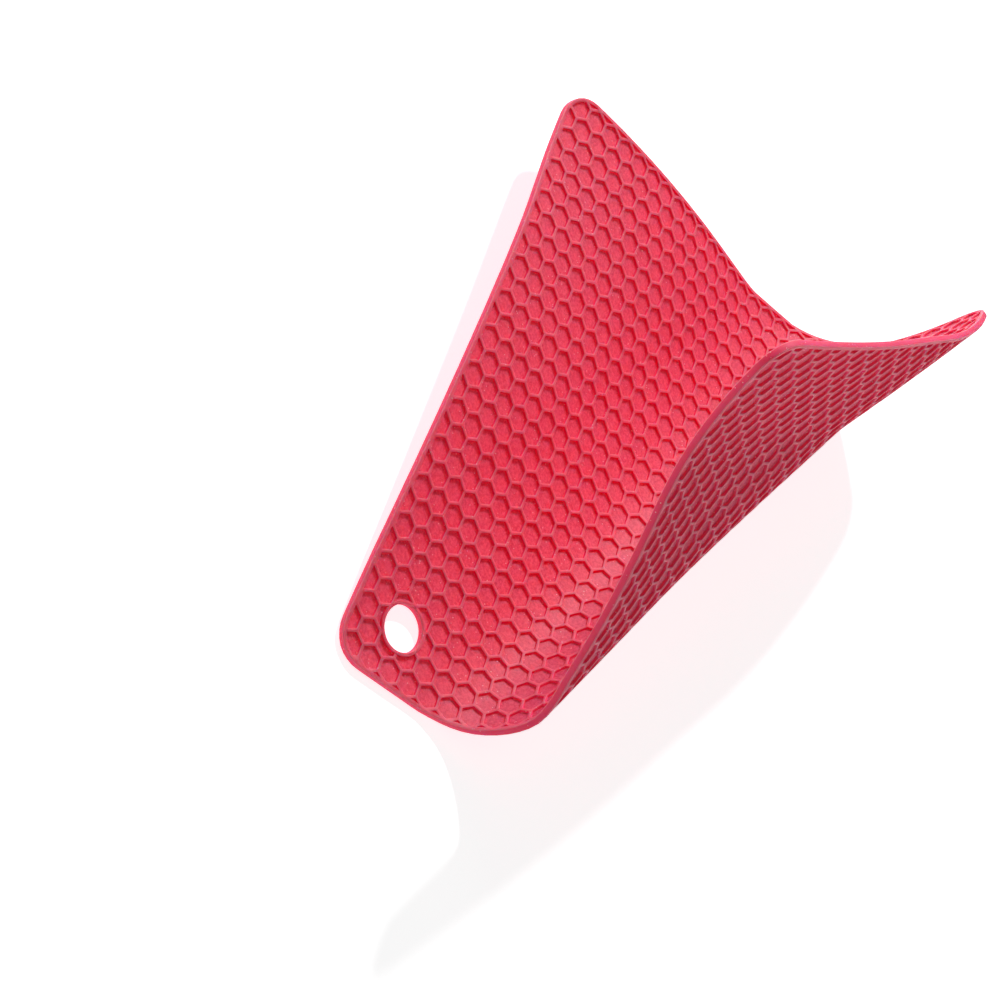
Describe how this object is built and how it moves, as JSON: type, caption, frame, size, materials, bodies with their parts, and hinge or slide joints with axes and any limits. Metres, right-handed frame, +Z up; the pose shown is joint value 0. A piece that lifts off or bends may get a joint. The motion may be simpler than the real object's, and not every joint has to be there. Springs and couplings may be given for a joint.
{
  "type": "silicone trivet",
  "caption": "Square silicone trivet with a recessed honeycomb on both faces and a hanging hole in one corner, bent over on itself in a soft fold.",
  "frame": {"origin": "on the surface that the trivet rests on, under the middle of its box", "axes": "+Z up from that surface, +Y along the longest side of the box, away from the hanging hole"},
  "size_m": [0.1551, 0.2348, 0.108],
  "materials": {
    "silicone": "matte moulded silicone, red"
  },
  "bodies": {
    "root": {"mat": "silicone"}
  },
  "joints": []
}
